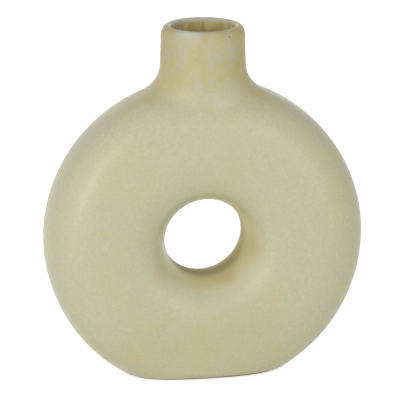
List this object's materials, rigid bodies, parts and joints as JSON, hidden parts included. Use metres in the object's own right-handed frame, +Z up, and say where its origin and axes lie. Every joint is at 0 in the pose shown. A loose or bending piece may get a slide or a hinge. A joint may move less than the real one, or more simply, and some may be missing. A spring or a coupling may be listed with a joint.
{
  "type": "donut vase",
  "caption": "Ring-shaped stoneware vase with a round hole through its middle, a short round neck on top and a flat oval foot.",
  "frame": {"origin": "on the surface that the vase stands on, under the middle of its foot", "axes": "+Z up through the neck, +Y through the hole from front to back, +X across the ring to the right"},
  "size_m": [0.181, 0.059, 0.2003],
  "materials": {
    "stoneware": "bare fired buff stoneware, matte",
    "slip": "fired joining slip, matte",
    "outer_glaze": "satin-matte pale olive glaze with a fine speckle, yellower on the neck and round the hole",
    "liner_glaze": "satin olive-brown liner glaze"
  },
  "bodies": {
    "root": {"ring_front_half": "stoneware", "ring_back_half": "stoneware", "neck_collar": "stoneware", "foot_slab": "stoneware", "ring_seam_slip": "slip", "neck_joint_slip": "slip", "foot_joint_slip": "slip", "outer_glaze": "outer_glaze", "liner_glaze": "liner_glaze"}
  },
  "joints": []
}
